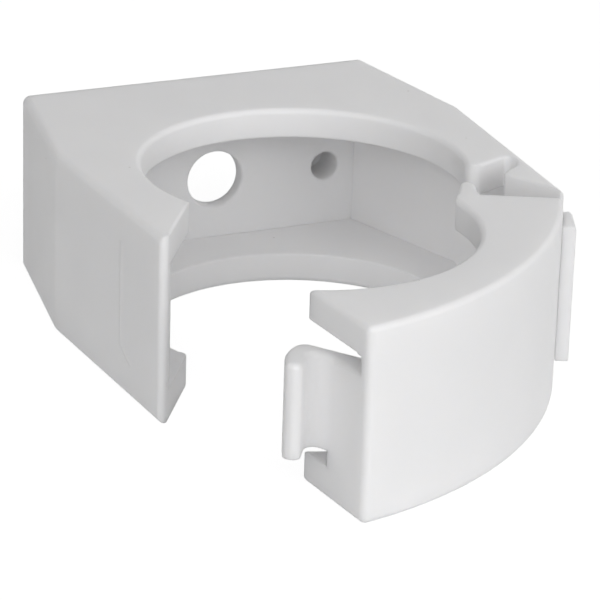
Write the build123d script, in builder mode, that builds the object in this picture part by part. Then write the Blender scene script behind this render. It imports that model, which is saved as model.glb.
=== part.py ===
"""Hinged snap pipe clip, moulded in white plastic: base, closing lid and the hinge strap between them.

Frame: millimetres, the origin on the pipe's axis at mid height, +Z up along the pipe, the wall on the +Y side
and the clip's mouth on the -Y side.  The lid is drawn closed and then swung open, ready for a pipe.
"""
import os
from math import atan2, cos, degrees, radians, sin, sqrt, tan

from build123d import *

os.makedirs("parts", exist_ok=True)

# Driving dimensions, all in millimetres or degrees
PIPE_D = 28.0
PIPE_CLEARANCE = 0.05
HEIGHT = 16.75
FLANGE = 2.75
WALL = 1.1
BACK_HALF = 17.0
KNEE_HALF = 19.5
END_HALF = 18.25
BACK_Y = 24.4
KNEE_Y = 9.15
END_Y = -13.6
KNEE_ROUND = 3.0
SIDE_ROUND = 0.7
BORE_ROUND = 0.5
CUT_PAST = 1.0

# Back panel, cored from behind so that no section is thick
BACK_DEPTH = 4.85
PANEL_SET_IN = 3.8
PANEL_T = 1.35
CORNER_DROP = 2.75
RIM_T = 1.4
RIB_X = 6.2
RIB_T = 1.2
SCREW_D = 5.3
POST_X = 11.1
POST_D = 4.8
DIMPLE_D = 2.6
DIMPLE_DEPTH = 3.6

# Mouth of the base: the latch end on the left, the stop, the slot and the finger on the hinge side
LATCH_CUT = 33.8
TIP_ROUND = 0.5
LATCH_END_ROUND = 0.6
STOP_CUT = 27.4
STOP_LEDGE = 0.32
BLOCK_ROUND = 0.6
SLOT_ANGLE = 34.8
SLOT_STEP = 0.5
SLOT_DROP = 1.06
SLOT_WALL = 1.4
SLOT_ROUND = 0.45
FINGER_CUT = 22.5
FINGER_RISE = 9.34
FINGER_ROUND = 0.8

# Lid, and the nub on it that nests in the base's slot
LID_R = 37.4
LID_BULGE = 5.34
LID_SET_IN = 1.48
LID_CUT = 30.0
LID_ROUND = 0.5
LATCH_ROUND = 0.6
HINGE_ROUND = 0.55
STOP_GAP = 0.25
BLOCK_GAP = 0.35
NUB_GAP = 0.55
NUB_END_GAP = 0.55
NUB_FRONT_GAP = 1.0
NUB_ROUND = 0.6
HEEL_ROUND = 1.0
OPEN_ANGLE = 36.0
PIVOT_OUT = 0.75
PIVOT_DROP = 2.2

# Snap hook on the lid, and its catch in the base
HOOK_LIFT = 1.4
HOOK_SLOT = 1.7
ARM_LENGTH = 3.45
ARM_T = 1.3
LIP_REACH = 3.3
LIP_RAKE = 22.0
LIP_T = 1.5
LIP_GAP = 0.4
ROOT_LAP = 1.2
NOSE_ROUND = 1.1
BROW_SET_BACK = 1.2
BROW_ROUND = 4.0
LIP_ROUND = 0.65
NOTCH_ROUND = 0.8
ROOT_ROUND = 2.5
CATCH_BITE = 1.0
CATCH_GAP = 0.3
CATCH_RAMP = 2.6
CATCH_FLAT = 0.5

# Hinge strap
STRAP_T = 0.85
STRAP_INSET = 2.2
STRAP_FOOT = 0.5
STRAP_SKIP = 0.8
PAD_LENGTH = 0.5
PAD_T = 1.2
STRAP_GAP = 0.02
STRAP_BEND = 1.5

# Derived
BORE_R = PIPE_D / 2 + PIPE_CLEARANCE
TOP = HEIGHT / 2
FLOOR = -TOP
CHANNEL_TOP = TOP - FLANGE
CHANNEL_FLOOR = FLOOR + FLANGE
DEPTH = HEIGHT - 2 * FLANGE
ARM_SLOPE = (KNEE_HALF - END_HALF) / (KNEE_Y - END_Y)
SIDE_SLOPE = (KNEE_HALF - BACK_HALF) / (BACK_Y - KNEE_Y)
LID_CENTRE_Y = END_Y - LID_BULGE + LID_R
PIVOT = (END_HALF + PIVOT_OUT, END_Y - PIVOT_DROP)


def arm_outer(y):
    """Half width of the base at y, measured on the straight arm."""
    return END_HALF + (y - END_Y) * ARM_SLOPE


def side_outer(y):
    """Half width of the base at y, measured on the tapered back."""
    return BACK_HALF + (BACK_Y - y) * SIDE_SLOPE


def heading(angle):
    """Unit direction at an angle from +X."""
    return (cos(radians(angle)), sin(radians(angle)))


def along(start, angle, length):
    """Point at a distance from start, the angle measured from +X."""
    ux, uy = heading(angle)
    return (start[0] + length * ux, start[1] + length * uy)


def to_x(start, angle, x):
    """Point where a line from start reaches x."""
    return (x, start[1] + (x - start[0]) * tan(radians(angle)))


def crossing(first, first_angle, second, second_angle):
    """Point where a line through first crosses a line through second."""
    ux, uy = heading(first_angle)
    vx, vy = heading(second_angle)
    wx, wy = second[0] - first[0], second[1] - first[1]
    return along(first, first_angle, (wx * vy - wy * vx) / (ux * vy - uy * vx))


def angle_of(start, end):
    """Angle from +X of the line that runs from start to end."""
    return degrees(atan2(end[1] - start[1], end[0] - start[0]))


def meet_circle(start, angle, centre_y, radius, leaving):
    """Where a line from start crosses a circle centred on the Y axis, as it enters it or as it leaves it."""
    ux, uy = heading(angle)
    wx, wy = start[0], start[1] - centre_y
    half = wx * ux + wy * uy
    root = sqrt(half * half - (wx * wx + wy * wy - radius * radius))
    return along(start, angle, root - half if leaving else -root - half)


def into_bore(start, angle):
    """Point on a line from start, just inside the bore, where the bore's circle trims what is drawn."""
    return meet_circle(start, angle, 0, BORE_R - CUT_PAST, leaving=False)


def lid_arc_y(x, radius=LID_R):
    """Y of the lid's front arc at x."""
    return LID_CENTRE_Y - sqrt(radius * radius - x * x)


def swing(point):
    """A point of the closed lid carried to the open pose."""
    ux, uy = heading(OPEN_ANGLE)
    dx, dy = point[0] - PIVOT[0], point[1] - PIVOT[1]
    return (PIVOT[0] + dx * ux - dy * uy, PIVOT[1] + dx * uy + dy * ux)


def nearest(sketch, points):
    """The sketch's vertex nearest to each given point."""
    return [sketch.vertices().sort_by_distance(Vector(p[0], p[1], 0))[0] for p in points]


def bore_edge(face_z, inward):
    """Cutter that rounds the bore's edge in the level face_z, the flange lying inward of it."""
    wall = (BORE_R, face_z + inward * BORE_ROUND)
    face = (BORE_R + BORE_ROUND, face_z)
    turn = BORE_ROUND * (1 - sqrt(0.5))
    with BuildPart() as cutter:
        with BuildSketch(Plane.XZ):
            with BuildLine():
                Polyline(
                    face,
                    (BORE_R + BORE_ROUND, face_z - inward * CUT_PAST),
                    (BORE_R - CUT_PAST, face_z - inward * CUT_PAST),
                    (BORE_R - CUT_PAST, face_z + inward * BORE_ROUND),
                    wall,
                )
                ThreePointArc(wall, (BORE_R + turn, face_z + inward * turn), face)
            make_face()
        revolve(axis=Axis.Z)
    return cutter.part


bore_edges = [bore_edge(TOP, -1), bore_edge(FLOOR, 1)]

# Plan of the base, anticlockwise from the back left
left_end = (-END_HALF, END_Y)
left_in = into_bore(left_end, 90 - LATCH_CUT)
stop_out = (END_HALF - STOP_LEDGE, END_Y)
slot_back = (arm_outer(END_Y + FINGER_RISE) - WALL, END_Y + FINGER_RISE)
slot_turn = (slot_back[0], slot_back[1] - SLOT_WALL)
slot_front = (slot_turn[0] - SLOT_STEP, slot_turn[1] - SLOT_DROP)
block = crossing(slot_front, SLOT_ANGLE, stop_out, 90 + STOP_CUT)
finger_in = into_bore(slot_back, 180 + FINGER_CUT)
finger_corner = meet_circle(slot_back, 180 + FINGER_CUT, 0, BORE_R, leaving=False)
latch_corner = meet_circle(left_end, 90 - LATCH_CUT, 0, BORE_R, leaving=False)
knees = [(-KNEE_HALF, KNEE_Y), (KNEE_HALF, KNEE_Y)]
base_plan = [
    (-BACK_HALF, BACK_Y),
    knees[0],
    left_end,
    left_in,
    finger_in,
    slot_back,
    slot_turn,
    slot_front,
    block,
    stop_out,
    (END_HALF, END_Y),
    knees[1],
    (BACK_HALF, BACK_Y),
]

# Cutter that rounds the sharp tip of the latch end
wall_angle = angle_of(left_end, knees[0])
tip_angle = (wall_angle + 90 - LATCH_CUT) / 2
tip_half = (wall_angle - 90 + LATCH_CUT) / 2
tip_run = TIP_ROUND / tan(radians(tip_half))
tip_centre = along(left_end, tip_angle, TIP_ROUND / sin(radians(tip_half)))
tip_wall = along(left_end, wall_angle, tip_run)
tip_cut = along(left_end, 90 - LATCH_CUT, tip_run)
tip_plan = [
    tip_wall,
    along(tip_wall, wall_angle + 90, CUT_PAST),
    along(left_end, tip_angle + 180, 2 * CUT_PAST),
    along(tip_cut, -LATCH_CUT, CUT_PAST),
    tip_cut,
    tip_centre,
]

# Channel inside the base, open at the mouth
panel_y = BACK_Y - BACK_DEPTH
panel_half = side_outer(panel_y) - PANEL_SET_IN
corner_y = KNEE_Y - CORNER_DROP
mouth_y = END_Y - CUT_PAST
channel = [
    (-panel_half, panel_y),
    (-(arm_outer(corner_y) - WALL), corner_y),
    (-(arm_outer(mouth_y) - WALL), mouth_y),
    (arm_outer(mouth_y) - WALL, mouth_y),
    (arm_outer(corner_y) - WALL, corner_y),
    (panel_half, panel_y),
]

# Core in the back
panel_back = panel_y + PANEL_T
core = [
    (-(side_outer(panel_back) - RIM_T), panel_back),
    (side_outer(panel_back) - RIM_T, panel_back),
    (side_outer(BACK_Y + CUT_PAST) - RIM_T, BACK_Y + CUT_PAST),
    (-(side_outer(BACK_Y + CUT_PAST) - RIM_T), BACK_Y + CUT_PAST),
]

# Lip of the hook and the catch that it snaps behind, both drawn closed
latch_x = LID_SET_IN - END_HALF
latch_out = (latch_x, lid_arc_y(latch_x))
cut_rise = 1 / tan(radians(LID_CUT))
level_nose = latch_out[1] + (LIP_REACH - latch_x) * cut_rise + ARM_LENGTH
lip_x = -(arm_outer(level_nose) - WALL - LIP_GAP) / (1 + ARM_SLOPE * cut_rise)
nose_y = level_nose + lip_x * cut_rise
rake = tan(radians(LIP_RAKE))
arm_out = lip_x + LIP_REACH
arm_in = arm_out + ARM_T
lip_root = (arm_out, nose_y - LIP_T)
lip_tip = (lip_x, lip_root[1] - LIP_REACH * rake)
catch_x = lip_x + CATCH_BITE
catch_y = lip_root[1] - (arm_out - catch_x) * rake - CATCH_GAP / cos(radians(LIP_RAKE))
catch_wall = -arm_outer(catch_y) + WALL / 2
catch_foot = catch_y - (catch_x - catch_wall) * rake
catch = [
    (catch_x, catch_y),
    (catch_wall, catch_foot),
    (catch_wall, catch_foot - CATCH_RAMP),
    (catch_x, catch_y - CATCH_FLAT),
]


def on_side(edge):
    """True for an edge at the top or bottom of the base's outer sides."""
    at = edge.center()
    outer = min(arm_outer(at.Y), side_outer(at.Y)) - WALL / 2
    return abs(at.Z) > TOP - WALL / 2 and abs(at.X) > outer and at.Y > END_Y + STOP_LEDGE


with BuildPart() as base:
    with BuildSketch(Plane.XY.offset(FLOOR)) as base_outline:
        with BuildLine():
            Polyline(*base_plan, close=True)
        make_face()
        fillet(nearest(base_outline, knees), KNEE_ROUND)
        Circle(BORE_R, mode=Mode.SUBTRACT)
        fillet(nearest(base_outline, [slot_back, slot_turn, slot_front]), SLOT_ROUND)
        fillet(nearest(base_outline, [block]), BLOCK_ROUND)
        fillet(nearest(base_outline, [finger_corner]), FINGER_ROUND)
        fillet(nearest(base_outline, [latch_corner]), LATCH_END_ROUND)
    extrude(amount=HEIGHT)
    fillet(base.edges().filter_by(on_side), SIDE_ROUND)
    with BuildSketch(Plane.XY.offset(FLOOR)):
        with BuildLine():
            Polyline(*tip_plan, close=True)
        make_face()
        with Locations(tip_centre):
            Circle(TIP_ROUND, mode=Mode.SUBTRACT)
    extrude(amount=HEIGHT, mode=Mode.SUBTRACT)
    with BuildSketch(Plane.XY.offset(CHANNEL_FLOOR)):
        for cut in (channel, core):
            with BuildLine():
                Polyline(*cut, close=True)
            make_face()
    extrude(amount=DEPTH, mode=Mode.SUBTRACT)
    with BuildSketch(Plane.XY.offset(CHANNEL_FLOOR)):
        with Locations((-RIB_X, panel_back), (RIB_X, panel_back)):
            Rectangle(RIB_T, BACK_Y - panel_back, align=(Align.CENTER, Align.MIN))
        with BuildLine():
            Polyline(*catch, close=True)
        make_face()
    extrude(amount=DEPTH)
    with BuildSketch(Plane.XZ.offset(-BACK_Y)):
        with Locations((-POST_X, 0), (POST_X, 0)):
            Circle(POST_D / 2)
    extrude(amount=BACK_DEPTH - PANEL_T / 2)
    with BuildSketch(Plane.XZ.offset(-panel_y)):
        with Locations((-POST_X, 0), (POST_X, 0)):
            Circle(DIMPLE_D / 2)
    extrude(amount=-DIMPLE_DEPTH, mode=Mode.SUBTRACT)
    with BuildSketch(Plane.XZ.offset(-panel_y)):
        Circle(SCREW_D / 2)
    extrude(amount=-(PANEL_T + CUT_PAST), mode=Mode.SUBTRACT)
    for cutter in bore_edges:
        add(cutter, mode=Mode.SUBTRACT)

base.part.label = "base"
export_step(base.part, "parts/base.step")

# Plan of the lid, closed
latch_in = into_bore(latch_out, 90 - LID_CUT)
lid_corner = along(along(block, 180 + STOP_CUT, STOP_GAP), 90 + STOP_CUT, BLOCK_GAP)
hinge_out = meet_circle(lid_corner, STOP_CUT - 90, LID_CENTRE_Y, LID_R, leaving=True)
nub_back = along(slot_back, FINGER_CUT - 90, NUB_GAP)
nub_root = into_bore(nub_back, 180 + FINGER_CUT)
nub_heel = meet_circle(nub_back, 180 + FINGER_CUT, 0, BORE_R, leaving=False)
nub_tip = to_x(nub_back, FINGER_CUT, slot_back[0] - NUB_END_GAP)
nub_front = to_x(lid_corner, SLOT_ANGLE, slot_back[0] - NUB_FRONT_GAP)
lid_plan = [latch_out, latch_in, nub_root, nub_tip, nub_front, lid_corner, hinge_out]

# Plan of the hook: arm, nose and raked lip, with the root that carries the arm
hook_low = CHANNEL_FLOOR + HOOK_LIFT
hook_high = CHANNEL_TOP - HOOK_SLOT
wall_mid = LID_R - WALL / 2
root_turn = along(latch_out, 90 - LID_CUT, (arm_out - latch_x) / sin(radians(LID_CUT)))
root_out = along(latch_out, 90 - LID_CUT, ROOT_LAP)
nose = (arm_in, nose_y)
brow = (arm_out - BROW_SET_BACK, nose_y)
lip_top = (lip_x, lip_tip[1] + LIP_T)
hook_plan = [
    (arm_in, lid_arc_y(arm_in, wall_mid)),
    nose,
    brow,
    lip_top,
    lip_tip,
    lip_root,
    root_turn,
    root_out,
    (root_out[0], lid_arc_y(root_out[0], wall_mid)),
]


def on_front(edge):
    """True for an edge at the top or bottom of the lid's front arc."""
    at = edge.center()
    return abs(at.Z) > TOP - WALL / 2 and at.Y < lid_arc_y(at.X, wall_mid)


with BuildPart() as lid_closed:
    with BuildSketch(Plane.XY.offset(FLOOR)) as lid_outline:
        with BuildLine():
            Polyline(*lid_plan)
            RadiusArc(hinge_out, latch_out, LID_R)
        make_face()
        Circle(BORE_R, mode=Mode.SUBTRACT)
        fillet(nearest(lid_outline, [nub_tip, nub_front]), NUB_ROUND)
        fillet(nearest(lid_outline, [nub_heel]), HEEL_ROUND)
        fillet(nearest(lid_outline, [hinge_out]), HINGE_ROUND)
        fillet(nearest(lid_outline, [latch_out]), LATCH_ROUND)
    extrude(amount=HEIGHT)
    fillet(lid_closed.edges().filter_by(on_front), LID_ROUND)
    with BuildSketch(Plane.XY.offset(CHANNEL_FLOOR)):
        with Locations((0, LID_CENTRE_Y)):
            Circle(LID_R - WALL)
        with Locations((arm_out, END_Y)):
            Rectangle(LID_R, LID_R, align=(Align.MIN, Align.CENTER), mode=Mode.INTERSECT)
    extrude(amount=DEPTH, mode=Mode.SUBTRACT)
    with BuildSketch(Plane.XY.offset(hook_high)):
        with Locations((0, LID_CENTRE_Y)):
            Circle(LID_R - WALL)
        with Locations((0, END_Y)):
            Rectangle(2 * LID_R, LID_R, mode=Mode.INTERSECT)
    extrude(amount=HOOK_SLOT, mode=Mode.SUBTRACT)
    with BuildSketch(Plane.XY.offset(hook_low)) as hook_outline:
        with BuildLine():
            Polyline(*hook_plan, close=True)
        make_face()
        fillet(nearest(hook_outline, [nose]), NOSE_ROUND)
        fillet(nearest(hook_outline, [brow]), BROW_ROUND)
        fillet(nearest(hook_outline, [lip_top, lip_tip]), LIP_ROUND)
        fillet(nearest(hook_outline, [lip_root]), NOTCH_ROUND)
        fillet(nearest(hook_outline, [root_turn]), ROOT_ROUND)
    extrude(amount=hook_high - hook_low)
    for cutter in bore_edges:
        add(cutter, mode=Mode.SUBTRACT)

with BuildPart() as lid:
    add(lid_closed.part.rotate(Axis((PIVOT[0], PIVOT[1], 0), (0, 0, 1)), OPEN_ANGLE))

lid.part.label = "lid"
export_step(lid.part, "parts/lid.step")

# Plan of the hinge strap, from the base's outer wall to the lid's outer wall in the open pose
foot_top = (arm_outer(END_Y + STRAP_FOOT), END_Y + STRAP_FOOT)
foot_end = (END_HALF, END_Y)
foot_angle = angle_of(foot_top, foot_end)
lid_start_x = hinge_out[0] - STRAP_SKIP
lid_stop_x = lid_start_x - PAD_LENGTH
lid_near = swing((lid_start_x, lid_arc_y(lid_start_x)))
lid_far = swing((lid_stop_x, lid_arc_y(lid_stop_x)))
lid_angle = angle_of(lid_near, lid_far)
pad_far = along(lid_far, lid_angle + 90, STRAP_GAP)
film_angle = angle_of(foot_end, pad_far)
skin_top = along(foot_top, foot_angle + 90, STRAP_T)
skin_far = along(pad_far, film_angle + 90, PAD_T)
bend_half = (film_angle - foot_angle) / 2
skin_bend = along(foot_end, foot_angle + bend_half + 90, STRAP_T / cos(radians(bend_half)))
strap_plan = [foot_top, foot_end, pad_far, skin_far, skin_bend, skin_top]

with BuildPart() as hinge_strap:
    with BuildSketch(Plane.XY.offset(FLOOR + STRAP_INSET)) as strap_outline:
        with BuildLine():
            Polyline(*strap_plan, close=True)
        make_face()
        fillet(nearest(strap_outline, [skin_bend]), STRAP_BEND)
    extrude(amount=HEIGHT - 2 * STRAP_INSET)

hinge_strap.part.label = "hinge_strap"
export_step(hinge_strap.part, "parts/hinge_strap.step")
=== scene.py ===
"""Hinged snap pipe clip in white moulded plastic: its surfaces, studio light and camera."""
import logging
from dataclasses import dataclass, field
from enum import Enum
from math import cos, radians, sin
from typing import Optional, Union

import bmesh
import bpy
from mathutils import Matrix, Vector


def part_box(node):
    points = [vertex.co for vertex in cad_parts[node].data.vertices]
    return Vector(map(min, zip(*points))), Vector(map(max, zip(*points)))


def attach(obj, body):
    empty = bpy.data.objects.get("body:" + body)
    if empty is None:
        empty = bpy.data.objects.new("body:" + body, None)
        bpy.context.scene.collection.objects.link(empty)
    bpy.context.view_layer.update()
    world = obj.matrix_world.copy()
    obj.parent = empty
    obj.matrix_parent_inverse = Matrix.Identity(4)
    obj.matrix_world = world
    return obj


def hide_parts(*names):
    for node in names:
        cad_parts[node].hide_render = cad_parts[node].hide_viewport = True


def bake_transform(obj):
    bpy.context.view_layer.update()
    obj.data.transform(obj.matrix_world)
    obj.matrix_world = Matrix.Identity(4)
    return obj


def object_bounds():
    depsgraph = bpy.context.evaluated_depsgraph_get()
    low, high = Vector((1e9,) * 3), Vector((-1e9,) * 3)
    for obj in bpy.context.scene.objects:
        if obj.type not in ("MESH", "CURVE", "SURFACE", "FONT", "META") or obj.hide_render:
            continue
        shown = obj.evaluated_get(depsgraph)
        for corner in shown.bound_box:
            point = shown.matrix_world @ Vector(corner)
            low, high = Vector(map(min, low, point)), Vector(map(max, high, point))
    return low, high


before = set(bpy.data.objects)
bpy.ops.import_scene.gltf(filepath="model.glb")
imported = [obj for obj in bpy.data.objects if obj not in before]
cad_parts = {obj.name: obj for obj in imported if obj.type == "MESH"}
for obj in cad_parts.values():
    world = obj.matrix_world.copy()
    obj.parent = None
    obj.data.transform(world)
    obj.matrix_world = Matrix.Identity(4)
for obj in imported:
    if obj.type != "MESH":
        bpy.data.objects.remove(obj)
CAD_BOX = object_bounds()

MM = 0.001
LOG = logging.getLogger("pipe_clip")
Socket = Union[bpy.types.NodeSocket, float]
Surface = bmesh.types.BMesh
Edges = list[bmesh.types.BMEdge]
Colour = tuple[float, float, float, float]
WHITE: Colour = (1.0, 1.0, 1.0, 1.0)


class Node(Enum):
    """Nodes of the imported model."""

    BASE = "base"
    LID = "lid"
    STRAP = "hinge_strap"


class Body(Enum):
    """Bodies that the pieces ride on."""

    BASE = "base"
    LID = "lid"


class Axis(Enum):
    """Axes, by their place in a point."""

    Y = 1
    Z = 2


class Kind(Enum):
    """Types of the sockets on a node group."""

    VALUE = "NodeSocketFloat"
    VECTOR = "NodeSocketVector"
    COLOUR = "NodeSocketColor"


class Ray(Enum):
    """Light Path outputs that see the white backdrop."""

    CAMERA = "Is Camera Ray"
    GLOSSY = "Is Glossy Ray"
    TRANSMISSION = "Is Transmission Ray"


@dataclass
class Wiring:
    """Adds nodes to one node tree and links them."""

    tree: bpy.types.NodeTree

    def node(self, kind: str, **settings: object) -> bpy.types.Node:
        """Adds a node.

        Args:
            kind: Blender's type name of the node.
            settings: Properties to set on it.

        Returns:
            The new node.
        """
        made = self.tree.nodes.new(kind)
        for name, value in settings.items():
            setattr(made, name, value)
        return made

    def feed(self, into: bpy.types.NodeSocket, value: object) -> None:
        """Links an output to an input, or sets the input's own value.

        Args:
            into: The input.
            value: An output socket, or a plain value.
        """
        if isinstance(value, bpy.types.NodeSocket):
            self.tree.links.new(value, into)
        else:
            into.default_value = value

    def group(self, tree: bpy.types.NodeTree, values: dict[str, object]) -> bpy.types.Node:
        """Places a node group.

        Args:
            tree: The group.
            values: What its inputs get, by name.

        Returns:
            The group's node.
        """
        made = self.node("ShaderNodeGroup", node_tree=tree)
        for label, value in values.items():
            self.feed(made.inputs[label], value)
        return made

    def math(self, operation: str, a: Socket, b: Socket = 0.0) -> bpy.types.NodeSocket:
        """Adds a Math node.

        Args:
            operation: Name of the operation.
            a: First operand.
            b: Second operand.

        Returns:
            The node's value.
        """
        made = self.node("ShaderNodeMath", operation=operation)
        for socket, value in zip(made.inputs, (a, b)):
            self.feed(socket, value)
        return made.outputs[0]

    def remap(
        self, value: Socket, low: Socket, high: Socket, to_low: Socket, to_high: Socket
    ) -> bpy.types.NodeSocket:
        """Adds a smooth, clamped Map Range node.

        Args:
            value: What is mapped.
            low: Start of the range it is mapped from.
            high: End of that range.
            to_low: Result at the start.
            to_high: Result at the end.

        Returns:
            The mapped value.
        """
        made = self.node("ShaderNodeMapRange", interpolation_type="SMOOTHSTEP")
        for socket, given in zip(made.inputs, (value, low, high, to_low, to_high)):
            self.feed(socket, given)
        return made.outputs[0]

    def mix_colour(self, share: Socket, first: object, second: object) -> bpy.types.NodeSocket:
        """Adds a colour Mix node.

        Args:
            share: How much of the second colour shows.
            first: First colour.
            second: Second colour.

        Returns:
            The mixed colour.
        """
        made = self.node("ShaderNodeMix", data_type="RGBA")
        self.feed(made.inputs["Factor"], share)
        self.feed(made.inputs["A"], first)
        self.feed(made.inputs["B"], second)
        return made.outputs["Result"]


@dataclass
class MouldingGroups:
    """Shader node groups that all the plastic surfaces share, each built once."""

    grain_detail: float = 2.0
    drift_detail: float = 1.0
    shine_scale: float = 0.08
    noise_low: float = 0.3
    noise_high: float = 0.7
    grain: bpy.types.NodeTree = field(init=False)
    drift: bpy.types.NodeTree = field(init=False)
    flecks: bpy.types.NodeTree = field(init=False)
    witness: bpy.types.NodeTree = field(init=False)

    def __post_init__(self) -> None:
        """Builds the groups."""
        self.grain = self._grain()
        self.drift = self._drift()
        self.flecks = self._flecks()
        self.witness = self._witness()

    @staticmethod
    def _start(
        name: str, inputs: dict[str, Kind], outputs: dict[str, Kind]
    ) -> tuple[Wiring, bpy.types.Node, bpy.types.Node]:
        """Starts a group with its sockets.

        Args:
            name: The group's name.
            inputs: Socket types of the inputs, by name.
            outputs: Socket types of the outputs, by name.

        Returns:
            The wiring of the group, its input node and its output node.
        """
        tree = bpy.data.node_groups.new(name, "ShaderNodeTree")
        for label, kind in inputs.items():
            tree.interface.new_socket(name=label, in_out="INPUT", socket_type=kind.value)
        for label, kind in outputs.items():
            tree.interface.new_socket(name=label, in_out="OUTPUT", socket_type=kind.value)
        wiring = Wiring(tree)
        return wiring, wiring.node("NodeGroupInput"), wiring.node("NodeGroupOutput")

    def _grain(self) -> bpy.types.NodeTree:
        """Fine grain that the mould's steel leaves on the skin.

        Returns:
            A group with the height of the grain and a roughness that drifts slowly over it.
        """
        wiring, given, result = self._start(
            "moulding_grain",
            {"Vector": Kind.VECTOR, "Scale": Kind.VALUE, "Low": Kind.VALUE, "High": Kind.VALUE},
            {"Height": Kind.VALUE, "Roughness": Kind.VALUE},
        )
        fine = wiring.node("ShaderNodeTexNoise")
        wiring.feed(fine.inputs["Vector"], given.outputs["Vector"])
        wiring.feed(fine.inputs["Scale"], given.outputs["Scale"])
        wiring.feed(fine.inputs["Detail"], self.grain_detail)
        wiring.feed(result.inputs["Height"], fine.outputs["Fac"])
        broad = wiring.node("ShaderNodeTexNoise")
        wiring.feed(broad.inputs["Vector"], given.outputs["Vector"])
        wiring.feed(broad.inputs["Scale"], wiring.math("MULTIPLY", given.outputs["Scale"], self.shine_scale))
        shine = wiring.remap(
            broad.outputs["Fac"], self.noise_low, self.noise_high, given.outputs["Low"], given.outputs["High"]
        )
        wiring.feed(result.inputs["Roughness"], shine)
        return wiring.tree

    def _drift(self) -> bpy.types.NodeTree:
        """Slow drift of tone, where the plastic is a little more or less cloudy.

        Returns:
            A group that puts out the drifting colour.
        """
        wiring, given, result = self._start(
            "tone_drift",
            {"Vector": Kind.VECTOR, "Scale": Kind.VALUE, "Pale": Kind.COLOUR, "Deep": Kind.COLOUR},
            {"Color": Kind.COLOUR},
        )
        slow = wiring.node("ShaderNodeTexNoise")
        wiring.feed(slow.inputs["Vector"], given.outputs["Vector"])
        wiring.feed(slow.inputs["Scale"], given.outputs["Scale"])
        wiring.feed(slow.inputs["Detail"], self.drift_detail)
        share = wiring.remap(slow.outputs["Fac"], self.noise_low, self.noise_high, 0.0, 1.0)
        tone = wiring.mix_colour(share, given.outputs["Pale"], given.outputs["Deep"])
        wiring.feed(result.inputs["Color"], tone)
        return wiring.tree

    def _flecks(self) -> bpy.types.NodeTree:
        """A few tiny grey flecks in the plastic.

        Returns:
            A group that puts the flecks on a colour.
        """
        wiring, given, result = self._start(
            "moulding_flecks",
            {
                "Vector": Kind.VECTOR, "Scale": Kind.VALUE, "Size": Kind.VALUE,
                "Share": Kind.VALUE, "Color": Kind.COLOUR, "Fleck": Kind.COLOUR,
            },
            {"Color": Kind.COLOUR},
        )
        cells = wiring.node("ShaderNodeTexVoronoi", feature="F1")
        wiring.feed(cells.inputs["Vector"], given.outputs["Vector"])
        wiring.feed(cells.inputs["Scale"], given.outputs["Scale"])
        chance = wiring.node("ShaderNodeSeparateColor")
        wiring.feed(chance.inputs["Color"], cells.outputs["Color"])
        chosen = wiring.math("LESS_THAN", chance.outputs["Red"], given.outputs["Share"])
        spot = wiring.remap(cells.outputs["Distance"], 0.0, given.outputs["Size"], 1.0, 0.0)
        mask = wiring.math("MULTIPLY", chosen, spot)
        tone = wiring.mix_colour(mask, given.outputs["Color"], given.outputs["Fleck"])
        wiring.feed(result.inputs["Color"], tone)
        return wiring.tree

    def _witness(self) -> bpy.types.NodeTree:
        """A faint straight line in the skin, where two parts of the mould meet.

        Returns:
            A group with the height of a line along Z, which runs from a low to a high end and leans along Y.
        """
        wiring, given, result = self._start(
            "witness_line",
            {
                "Vector": Kind.VECTOR, "Place": Kind.VALUE, "Lean": Kind.VALUE, "Low": Kind.VALUE,
                "High": Kind.VALUE, "Width": Kind.VALUE, "Side": Kind.VALUE,
            },
            {"Height": Kind.VALUE},
        )
        parts = wiring.node("ShaderNodeSeparateXYZ")
        wiring.feed(parts.inputs[0], given.outputs["Vector"])
        across, along, up = parts.outputs
        below = wiring.math("SUBTRACT", given.outputs["High"], up)
        shift = wiring.math("MULTIPLY", below, given.outputs["Lean"])
        centre = wiring.math("ADD", given.outputs["Place"], shift)
        off = wiring.math("ABSOLUTE", wiring.math("SUBTRACT", along, centre))
        line = wiring.remap(off, 0.0, given.outputs["Width"], 1.0, 0.0)
        above_low = wiring.math("GREATER_THAN", up, given.outputs["Low"])
        below_high = wiring.math("GREATER_THAN", below, 0.0)
        inside = wiring.math("MULTIPLY", above_low, below_high)
        shown = wiring.math("MULTIPLY", inside, wiring.math("LESS_THAN", across, given.outputs["Side"]))
        wiring.feed(result.inputs["Height"], wiring.math("MULTIPLY", line, shown))
        return wiring.tree


@dataclass(frozen=True)
class WitnessLine:
    """The mould's faint line on the base's left wall, with a short slanting end."""

    place_mm: float = -4.8
    high_mm: float = 5.2
    turn_mm: float = -4.2
    low_mm: float = -5.4
    lean: float = -1.7
    width_mm: float = 0.35
    side_mm: float = -17.0
    rise: float = 20.0

    def height(
        self, wiring: Wiring, group: bpy.types.NodeTree, place: bpy.types.NodeSocket
    ) -> bpy.types.NodeSocket:
        """Adds the straight line and its slanting end.

        Args:
            wiring: Wiring of the material.
            group: The shared line group.
            place: Where the surface is.

        Returns:
            Height of the lines, in shares of the grain's depth.
        """
        upright = (self.high_mm, self.turn_mm, 0.0)
        slanting = (self.turn_mm, self.low_mm, self.lean)
        lines = []
        for high, low, lean in (upright, slanting):
            line = wiring.group(group, {
                "Vector": place, "Place": self.place_mm * MM, "Lean": lean, "Low": low * MM,
                "High": high * MM, "Width": self.width_mm * MM, "Side": self.side_mm * MM,
            })
            lines.append(line.outputs["Height"])
        return wiring.math("MULTIPLY", wiring.math("ADD", *lines), self.rise)


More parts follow.
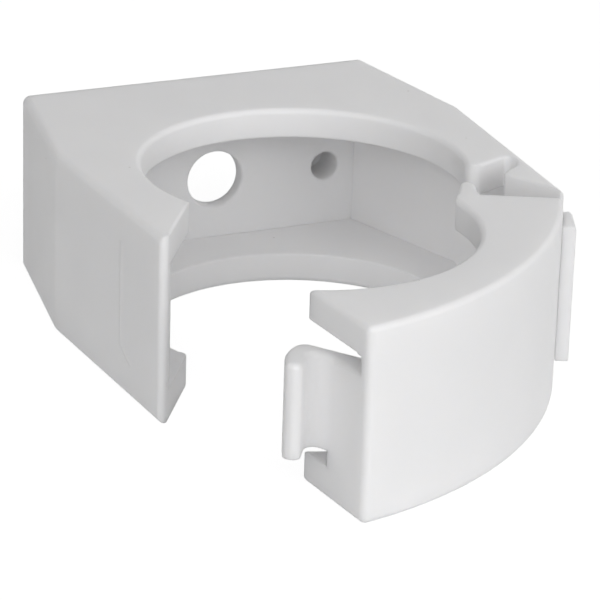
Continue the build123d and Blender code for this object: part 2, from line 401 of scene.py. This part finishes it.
@dataclass(frozen=True)
class WhitePlastic:
    """Satin white polypropylene, a little cloudy."""

    name: str
    witness: Optional[WitnessLine] = None
    pale: Colour = (0.904, 0.9, 0.904, 1.0)
    deep: Colour = (0.889, 0.886, 0.891, 1.0)
    fleck: Colour = (0.62, 0.61, 0.59, 1.0)
    roughness: tuple[float, float] = (0.5, 0.6)
    refraction: float = 1.49
    grain_mm: float = 0.22
    grain_depth_mm: float = 0.004
    drift_mm: float = 9.0
    fleck_mm: float = 0.16
    fleck_spacing_mm: float = 4.0
    fleck_share: float = 0.35
    scatter: float = 0.6
    scatter_mm: float = 1.6
    scatter_tint: tuple[float, float, float] = (1.0, 0.97, 0.92)
    soft_edge_mm: float = 0.2
    soft_edge_rays: int = 6

    def material(self, groups: MouldingGroups) -> bpy.types.Material:
        """Makes the material.

        Args:
            groups: The shared node groups.

        Returns:
            The finished material.
        """
        made = bpy.data.materials.new(self.name)
        made.use_nodes = True
        wiring = Wiring(made.node_tree)
        shader = made.node_tree.nodes["Principled BSDF"]
        shader.inputs["IOR"].default_value = self.refraction
        shader.inputs["Subsurface Weight"].default_value = self.scatter
        shader.inputs["Subsurface Radius"].default_value = self.scatter_tint
        shader.inputs["Subsurface Scale"].default_value = self.scatter_mm * MM
        place = wiring.node("ShaderNodeTexCoord").outputs["Object"]
        wiring.feed(shader.inputs["Base Color"], self._colour(wiring, groups, place))
        low, high = self.roughness
        grain = wiring.group(groups.grain, {
            "Vector": place, "Scale": 1 / (self.grain_mm * MM), "Low": low, "High": high,
        })
        wiring.feed(shader.inputs["Roughness"], grain.outputs["Roughness"])
        relief = grain.outputs["Height"]
        if self.witness:
            relief = wiring.math("ADD", relief, self.witness.height(wiring, groups.witness, place))
        wiring.feed(shader.inputs["Normal"], self._normal(wiring, relief))
        return made

    def _colour(
        self, wiring: Wiring, groups: MouldingGroups, place: bpy.types.NodeSocket
    ) -> bpy.types.NodeSocket:
        """Adds the drifting white with its flecks.

        Args:
            wiring: Wiring of the material.
            groups: The shared node groups.
            place: Where the surface is.

        Returns:
            The colour of the surface.
        """
        drift = wiring.group(groups.drift, {
            "Vector": place, "Scale": 1 / (self.drift_mm * MM), "Pale": self.pale, "Deep": self.deep,
        })
        flecks = wiring.group(groups.flecks, {
            "Vector": place, "Scale": 1 / (self.fleck_spacing_mm * MM),
            "Size": self.fleck_mm / self.fleck_spacing_mm, "Share": self.fleck_share,
            "Color": drift.outputs["Color"], "Fleck": self.fleck,
        })
        return flecks.outputs["Color"]

    def _normal(self, wiring: Wiring, relief: bpy.types.NodeSocket) -> bpy.types.NodeSocket:
        """Adds softened edges and the skin's relief on them.

        Args:
            wiring: Wiring of the material.
            relief: Height of the relief, in shares of the grain's depth.

        Returns:
            The normal of the surface.
        """
        soft = wiring.node("ShaderNodeBevel", samples=self.soft_edge_rays)
        soft.inputs["Radius"].default_value = self.soft_edge_mm * MM
        bump = wiring.node("ShaderNodeBump")
        bump.inputs["Distance"].default_value = self.grain_depth_mm * MM
        wiring.feed(bump.inputs["Height"], relief)
        wiring.feed(bump.inputs["Normal"], soft.outputs["Normal"])
        return bump.outputs["Normal"]


@dataclass
class MouldedSkin:
    """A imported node's surface, copied into a piece of its own and cleaned."""

    node: Node
    piece: str
    finish: WhitePlastic
    crease_angle: float = 25.0
    flat_angle: float = 0.4
    weld_mm: float = 0.0005
    level_mm: float = 0.002
    edge_round_mm: float = 0.3
    edge_steps: int = 3
    run_out_mm: float = 0.75
    arc_profile: float = 0.5
    kept_corners: int = 4
    flat_weight: int = 100

    def shape(self, work: Surface) -> None:
        """Hook for a piece's own rounds, called on the cleaned surface."""

    def plane_edges(self, work: Surface, axis: Axis, *places: float) -> Edges:
        """Finds the sharp outer edges that lie in planes across one axis.

        Args:
            work: The surface.
            axis: The axis.
            places: Where the planes cross it, in metres.

        Returns:
            The edges.
        """
        return [
            side for side in work.edges
            for place in places
            if all(abs(vert.co[axis.value] - place) < self.level_mm * MM for vert in side.verts)
            and side.is_convex and side.calc_face_angle(0.0) > radians(self.crease_angle)
        ]

    def level_edges(self, work: Surface, *levels: float) -> Edges:
        """Finds the sharp outer edges that lie in level planes.

        Args:
            work: The surface.
            levels: Heights of the planes, in metres.

        Returns:
            The edges.
        """
        return self.plane_edges(work, Axis.Z, *levels)

    def spare_ends(self, work: Surface, edges: Edges) -> Edges:
        """Leaves out the last bit of each run, so that a round fades before it meets another.

        Args:
            work: The surface.
            edges: The edges that are to be rounded.

        Returns:
            The edges without the ends of their runs.
        """
        kept = set(edges)
        for tip in [vert for vert in work.verts if sum(side in kept for side in vert.link_edges) == 1]:
            left = self.run_out_mm * MM
            side = next((side for side in tip.link_edges if side in kept), None)
            while left > 0 and side:
                length = side.calc_length()
                if length > left:
                    bmesh.utils.edge_split(side, tip, left / length)
                else:
                    kept.discard(side)
                    tip = side.other_vert(tip)
                    side = next((side for side in tip.link_edges if side in kept), None)
                left -= length
        return [side for side in edges if side in kept]

    def round_over(self, work: Surface, edges: Edges, radius_mm: float, steps: int) -> None:
        """Rounds edges.

        Args:
            work: The surface.
            edges: Edges to round.
            radius_mm: How far the round reaches on both sides.
            steps: Facets across it.
        """
        bmesh.ops.bevel(
            work, geom=edges, offset=radius_mm * MM, offset_type="OFFSET", segments=steps,
            profile=self.arc_profile, affect="EDGES", clamp_overlap=False,
        )

    def clean_mesh(self) -> bpy.types.Mesh:
        """Copies the node's triangles, welds them and works on their flat faces as whole faces.

        Returns:
            The cleaned mesh, with creases where its faces meet at an edge.
        """
        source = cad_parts[self.node.value].data
        mesh = bpy.data.meshes.new(self.piece)
        mesh.from_pydata([v.co for v in source.vertices], [], [tuple(p.vertices) for p in source.polygons])
        work = bmesh.new()
        work.from_mesh(mesh)
        bmesh.ops.remove_doubles(work, verts=work.verts, dist=self.weld_mm * MM)
        bmesh.ops.dissolve_limit(
            work, angle_limit=radians(self.flat_angle), use_dissolve_boundaries=False,
            verts=work.verts, edges=work.edges, delimit=set(),
        )
        self.shape(work)
        many = [face for face in work.faces if len(face.verts) > self.kept_corners]
        bmesh.ops.triangulate(work, faces=many, quad_method="BEAUTY", ngon_method="BEAUTY")
        bmesh.ops.recalc_face_normals(work, faces=work.faces)
        work.to_mesh(mesh)
        work.free()
        mesh.shade_smooth()
        mesh.set_sharp_from_angle(angle=radians(self.crease_angle))
        return mesh

    def build(self, groups: MouldingGroups) -> bpy.types.Object:
        """Makes the piece and hides the node that it stands for.

        Args:
            groups: The shared node groups.

        Returns:
            The piece, not yet riding on a body.
        """
        made = bpy.data.objects.new(self.piece, self.clean_mesh())
        bpy.context.scene.collection.objects.link(made)
        level = made.modifiers.new("level_faces", "WEIGHTED_NORMAL")
        level.weight = self.flat_weight
        level.keep_sharp = True
        made.data.materials.append(self.finish.material(groups))
        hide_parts(self.node.value)
        return made


@dataclass
class FlangedHalf(MouldedSkin):
    """One of the two rigid halves, with flanges round the pipe and a channel between them."""

    body: Body = Body.BASE
    flange_mm: float = 2.75
    channel_round_mm: float = 0.2
    channel_steps: int = 2

    def top(self) -> float:
        """Height of the upper end face, in metres."""
        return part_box(self.node.value)[1].z

    def channel_edges(self, work: Surface) -> Edges:
        """Finds the sharp outer edges of both flanges that face the channel.

        Args:
            work: The half's surface.

        Returns:
            The edges.
        """
        level = self.top() - self.flange_mm * MM
        return self.level_edges(work, level, -level)

    def soften_channel(self, work: Surface, edges: Edges) -> None:
        """Rounds the channel's edges, apart from the ends of their runs."""
        self.round_over(work, self.spare_ends(work, edges), self.channel_round_mm, self.channel_steps)

    def dress(self, groups: MouldingGroups) -> None:
        """Builds the half and sets it on its body.

        Args:
            groups: The shared node groups.
        """
        made = self.build(groups)
        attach(made, self.body.value)
        LOG.info("%s rides on %s", made.name, self.body.value)


@dataclass
class ClipBase(FlangedHalf):
    """The base: pipe seat, back panel and the two arms."""

    node: Node = Node.BASE
    piece: str = "base_moulding"
    finish: WhitePlastic = WhitePlastic("base_plastic", witness=WitnessLine())
    panel_mm: float = 19.55
    bore_reach_mm: float = 14.1
    rim_round_mm: float = 0.3

    def shape(self, work: Surface) -> None:
        """Rounds the upper edges of the arms' ends, the channel's edges at the bore and the holes' rims.

        Args:
            work: The base's surface.
        """
        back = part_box(self.node.value)[1].y - self.level_mm * MM
        ends = [
            side for side in self.level_edges(work, self.top())
            if any(vert.co.y < back for vert in side.verts)
        ]
        self.round_over(work, self.spare_ends(work, ends), self.edge_round_mm, self.edge_steps)
        bore = [
            side for side in self.channel_edges(work)
            if all(vert.co.xy.length < self.bore_reach_mm * MM for vert in side.verts)
        ]
        self.soften_channel(work, bore)
        rims = self.plane_edges(work, Axis.Y, self.panel_mm * MM)
        self.round_over(work, rims, self.rim_round_mm, self.edge_steps)


@dataclass
class ClipLid(FlangedHalf):
    """The lid with its hook and the nub beside the hinge."""

    node: Node = Node.LID
    piece: str = "lid_moulding"
    finish: WhitePlastic = WhitePlastic("lid_plastic")
    body: Body = Body.LID
    hook_top_mm: float = 3.925
    hook_round_mm: float = 0.5
    hook_steps: int = 4

    def shape(self, work: Surface) -> None:
        """Rounds the upper edge of the hook, both ends of the nub and the channel's edges.

        Args:
            work: The lid's surface.
        """
        hook = self.level_edges(work, self.hook_top_mm * MM)
        self.round_over(work, hook, self.hook_round_mm, self.hook_steps)
        nub = self.level_edges(work, self.top(), -self.top())
        self.round_over(work, self.spare_ends(work, nub), self.edge_round_mm, self.edge_steps)
        self.soften_channel(work, self.channel_edges(work))


@dataclass
class HingeFilm(MouldedSkin):
    """The thin strap that joins the lid to the base and bends as the lid swings."""

    node: Node = Node.STRAP
    piece: str = "hinge_film"
    finish: WhitePlastic = WhitePlastic("film_plastic")
    slices: int = 14
    end_round_mm: float = 0.2

    def shape(self, work: Surface) -> None:
        """Rounds the edges of the strap's two ends.

        Args:
            work: The strap's surface.
        """
        low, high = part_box(self.node.value)
        ends = self.level_edges(work, high.z, low.z)
        self.round_over(work, ends, self.end_round_mm, self.edge_steps)

    def slice_across(self, mesh: bpy.types.Mesh, start: Vector, end: Vector) -> None:
        """Cuts the strap across its run, so that it can bend.

        Args:
            mesh: The strap's mesh.
            start: Where the run starts.
            end: Where it ends.
        """
        work = bmesh.new()
        work.from_mesh(mesh)
        run = end - start
        for index in range(1, self.slices):
            bmesh.ops.bisect_plane(
                work, geom=[*work.verts, *work.edges, *work.faces],
                plane_co=start + run * (index / self.slices), plane_no=run,
            )
        work.to_mesh(mesh)
        work.free()

    def dress(self, groups: MouldingGroups) -> None:
        """Builds the strap and cuts it across its run into slices.

        Args:
            groups: The shared node groups.
        """
        low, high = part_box(self.node.value)
        start = Vector((high.x, high.y, 0))
        end = Vector((low.x, low.y, 0))
        made = self.build(groups)
        self.slice_across(made.data, start, end)
        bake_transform(made)
        LOG.info("%s bends between %s and %s", made.name, Body.BASE.value, Body.LID.value)


@dataclass(frozen=True)
class PhotoCamera:
    """Camera at the photograph's viewing angle."""

    lens_mm: float = 206.93
    sensor_mm: float = 36.0
    distance_mm: float = 303.1
    target_mm: tuple[float, float, float] = (0.07, 0.0, -4.525)
    azimuth: float = -24.49
    elevation: float = 22.021
    roll: float = 1.837
    nearest: float = 0.01
    farthest: float = 20.0

    def build(self) -> None:
        """Makes the camera and gives it to the scene."""
        turn, rise, tilt = radians(self.azimuth), radians(self.elevation), radians(self.roll)
        back = Vector((sin(turn) * cos(rise), -cos(turn) * cos(rise), sin(rise)))
        level = Vector((cos(turn), sin(turn), 0))
        upright = back.cross(level)
        right = level * cos(tilt) + upright * sin(tilt)
        up = upright * cos(tilt) - level * sin(tilt)
        data = bpy.data.cameras.new("photo_camera")
        data.lens = self.lens_mm
        data.sensor_width = self.sensor_mm
        data.clip_start = self.nearest
        data.clip_end = self.farthest
        camera = bpy.data.objects.new("photo_camera", data)
        place = Vector(self.target_mm) * MM + back * (self.distance_mm * MM)
        turned = Matrix((right, up, back)).transposed().to_4x4()
        camera.matrix_world = Matrix.Translation(place) @ turned
        bpy.context.scene.collection.objects.link(camera)
        bpy.context.scene.camera = camera


@dataclass(frozen=True)
class SoftBox:
    """A square area lamp that looks at the object, with its distance and size in metres."""

    name: str
    towards: tuple[float, float, float]
    watts: float
    distance: float = 0.7
    size: float = 0.6

    def build(self) -> None:
        """Hangs the lamp in the studio."""
        data = bpy.data.lights.new(self.name, "AREA")
        data.energy = self.watts
        data.size = self.size
        lamp = bpy.data.objects.new(self.name, data)
        direction = Vector(self.towards).normalized()
        lamp.location = direction * self.distance
        lamp.rotation_mode = "QUATERNION"
        lamp.rotation_quaternion = direction.to_track_quat("Z", "Y")
        bpy.context.scene.collection.objects.link(lamp)


@dataclass(frozen=True)
class Studio:
    """White sweep with large soft lamps on both sides in front and weaker ones above and behind."""

    ambient: float = 0.02
    floor_half: float = 2.0
    floor_gap_mm: float = 0.02
    floor_bounce: float = 0.8
    floor_glow: float = 0.88
    floor_shadow: float = 0.26
    lamps: tuple[SoftBox, ...] = (
        SoftBox("left_softbox", (-0.6, -0.8, 0.2), 1.83),
        SoftBox("right_softbox", (0.55, -0.83, 0.25), 2.5),
        SoftBox("overhead_softbox", (0.0, -0.1, 1.0), 0.58),
        SoftBox("high_softbox", (-0.1, -0.7, 0.75), 1.25),
        SoftBox("left_high_softbox", (-0.75, -0.1, 0.65), 0.79),
        SoftBox("right_back_softbox", (0.7, 0.5, 0.55), 0.68),
    )

    def build(self) -> None:
        """Lights the scene and lays the floor."""
        scene = bpy.context.scene
        scene.view_settings.view_transform = "Standard"
        self._world(scene)
        self._floor(scene)
        for lamp in self.lamps:
            lamp.build()

    @staticmethod
    def _sees_backdrop(wiring: Wiring) -> bpy.types.NodeSocket:
        """Mask of the rays that see the white backdrop.

        Args:
            wiring: Wiring of the material or the world.

        Returns:
            A value of 1 for those rays and 0 for the others.
        """
        path = wiring.node("ShaderNodeLightPath")
        camera, glossy, transmission = (path.outputs[ray.value] for ray in Ray)
        return wiring.math("MAXIMUM", wiring.math("MAXIMUM", camera, glossy), transmission)

    def _world(self, scene: bpy.types.Scene) -> None:
        """Makes an even world that looks white.

        Args:
            scene: The scene that it belongs to.
        """
        world = bpy.data.worlds.new("studio_world")
        world.use_nodes = True
        scene.world = world
        wiring = Wiring(world.node_tree)
        shader = world.node_tree.nodes["Background"]
        shader.inputs["Color"].default_value = WHITE
        strength = wiring.remap(self._sees_backdrop(wiring), 0.0, 1.0, self.ambient, 1.0)
        wiring.feed(shader.inputs["Strength"], strength)

    def _floor(self, scene: bpy.types.Scene) -> None:
        """Lays the pale floor under the clip.

        Args:
            scene: The scene that it belongs to.
        """
        half = self.floor_half
        level = CAD_BOX[0].z - self.floor_gap_mm * MM
        mesh = bpy.data.meshes.new("studio_floor")
        corners = [(-half, -half, level), (half, -half, level), (half, half, level), (-half, half, level)]
        mesh.from_pydata(corners, [], [(0, 1, 2, 3)])
        mesh.materials.append(self._floor_white())
        floor = bpy.data.objects.new("studio_floor", mesh)
        scene.collection.objects.link(floor)

    def _floor_white(self) -> bpy.types.Material:
        """Makes the floor's white, which keeps the shadow and bounces a plain pale light.

        Returns:
            The material.
        """
        made = bpy.data.materials.new("studio_white")
        made.use_nodes = True
        made.node_tree.nodes.clear()
        wiring = Wiring(made.node_tree)
        bounce = wiring.node("ShaderNodeBsdfDiffuse")
        bounce.inputs["Color"].default_value = (self.floor_bounce,) * 3 + (1.0,)
        glow = wiring.node("ShaderNodeEmission")
        glow.inputs["Strength"].default_value = self.floor_glow
        shadow = wiring.node("ShaderNodeBsdfDiffuse")
        shadow.inputs["Color"].default_value = (self.floor_shadow,) * 3 + (1.0,)
        shown = wiring.node("ShaderNodeAddShader")
        wiring.feed(shown.inputs[0], glow.outputs[0])
        wiring.feed(shown.inputs[1], shadow.outputs[0])
        choice = wiring.node("ShaderNodeMixShader")
        wiring.feed(choice.inputs[0], self._sees_backdrop(wiring))
        wiring.feed(choice.inputs[1], bounce.outputs[0])
        wiring.feed(choice.inputs[2], shown.outputs[0])
        wiring.feed(wiring.node("ShaderNodeOutputMaterial").inputs["Surface"], choice.outputs[0])
        return made


def main() -> None:
    """Builds the clip, the studio and the camera."""
    logging.basicConfig(level=logging.INFO, format="%(name)s: %(message)s")
    groups = MouldingGroups()
    for part in (ClipBase(), ClipLid(), HingeFilm()):
        part.dress(groups)
    Studio().build()
    PhotoCamera().build()


if __name__ == "__main__":
    main()
